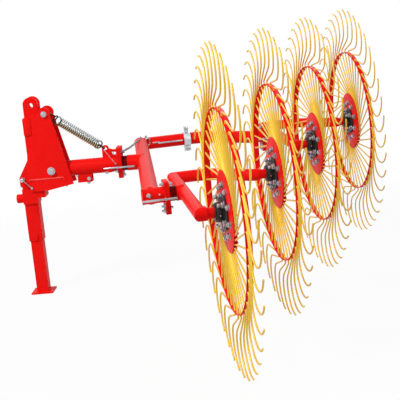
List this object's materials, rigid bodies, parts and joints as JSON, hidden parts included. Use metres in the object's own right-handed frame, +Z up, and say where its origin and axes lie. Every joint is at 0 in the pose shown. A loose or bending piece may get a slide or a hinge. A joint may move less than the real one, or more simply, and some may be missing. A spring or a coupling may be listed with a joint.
{
  "type": "hitch-mounted finger-wheel hay rake",
  "caption": "Hitch-mounted hay rake: headstock with sprung beam, turning frame and rockers that carry spinning tined wheels.",
  "frame": {"origin": "centre of the top-link hole, midway between the two ears", "axes": "+X along the beam away from the tractor's hitch, +Y across it, +Z up"},
  "size_m": [2.1702, 3.969, 1.432],
  "materials": {
    "red_paint": "gloss paint on welded steel",
    "tine_yellow": "yellow coat on spring wire, red coat on the rim band",
    "hub_black": "black satin paint",
    "zinc": "bright zinc plate",
    "spring_steel": "zinc plate with a yellow tint",
    "galvanised": "grey galvanised casting"
  },
  "bodies": {
    "headstock": {"side_plate_near": "red_paint", "side_plate_far": "red_paint", "top_link_ears": "red_paint", "mast_post": "red_paint", "post_collar": "red_paint", "hitch_lugs": "red_paint", "hitch_pin": "zinc", "hitch_bush": "red_paint", "plate_spacer": "red_paint", "headstock_bolts": "zinc", "lift_spring": "spring_steel"},
    "stand": {"parking_leg": "red_paint"},
    "beam": {"beam_tube": "red_paint", "beam_flange": "red_paint", "spring_lug": "red_paint", "stop_bracket": "red_paint", "beam_lock_rod": "zinc"},
    "frame": {"frame_neck": "red_paint", "main_cross_tube": "red_paint", "front_sleeve": "red_paint", "back_tube": "red_paint", "tube_clamp": "galvanised", "front_lock_rod": "zinc", "rear_lock_rod": "zinc", "arm_rod": "zinc"},
    "front_rocker": {"front_rocker_cross_tube": "red_paint", "front_rocker_stub": "red_paint", "front_rocker_arm": "red_paint", "front_rocker_neck": "red_paint"},
    "rear_rocker": {"rear_rocker_cross_tube": "red_paint", "rear_rocker_stub": "red_paint", "rear_rocker_arm": "red_paint", "rear_rocker_neck": "red_paint"},
    "wheel_1": {"wheel_1_rim": "tine_yellow", "wheel_1_disc": "red_paint", "wheel_1_hub": "hub_black"},
    "wheel_2": {"wheel_2_rim": "tine_yellow", "wheel_2_disc": "red_paint", "wheel_2_hub": "hub_black"},
    "wheel_3": {"wheel_3_rim": "tine_yellow", "wheel_3_disc": "red_paint", "wheel_3_hub": "hub_black"},
    "wheel_4": {"wheel_4_rim": "tine_yellow", "wheel_4_disc": "red_paint", "wheel_4_hub": "hub_black"}
  },
  "joints": [
    {"name": "stand_slide", "type": "slide", "parent": "headstock", "child": "stand", "axis": [0, 0, 1], "range_m": [0, 0.27]},
    {"name": "beam_lift", "type": "hinge", "parent": "headstock", "child": "beam", "pos_m": [0.078, 0, -0.378], "axis": [0, -1, 0], "range_deg": [0, 12], "deforming": ["lift_spring"]},
    {"name": "frame_roll", "type": "hinge", "parent": "beam", "child": "frame", "pos_m": [0.47, 0, -0.378], "axis": [1, 0, 0], "range_deg": [-8, 8]},
    {"name": "front_rocker_roll", "type": "hinge", "parent": "frame", "child": "front_rocker", "pos_m": [0.81847, -1.08629, -0.378], "axis": [0.9781, 0.2079, 0], "range_deg": [-8, 8]},
    {"name": "rear_rocker_roll", "type": "hinge", "parent": "frame", "child": "rear_rocker", "pos_m": [1.28826, 0.61864, -0.378], "axis": [0.9781, 0.2079, 0], "range_deg": [-8, 8]},
    {"name": "wheel_1_spin", "type": "hinge", "parent": "front_rocker", "child": "wheel_1", "pos_m": [1.11793, -1.60537, -0.378], "axis": [0.9781, 0.2079, 0], "continuous": true},
    {"name": "wheel_2_spin", "type": "hinge", "parent": "front_rocker", "child": "wheel_2", "pos_m": [1.34305, -0.75498, -0.378], "axis": [0.9781, 0.2079, 0], "continuous": true},
    {"name": "wheel_3_spin", "type": "hinge", "parent": "rear_rocker", "child": "wheel_3", "pos_m": [1.58773, 0.09956, -0.378], "axis": [0.9781, 0.2079, 0], "continuous": true},
    {"name": "wheel_4_spin", "type": "hinge", "parent": "rear_rocker", "child": "wheel_4", "pos_m": [1.86664, 0.96139, -0.378], "axis": [0.9781, 0.2079, 0], "continuous": true}
  ]
}
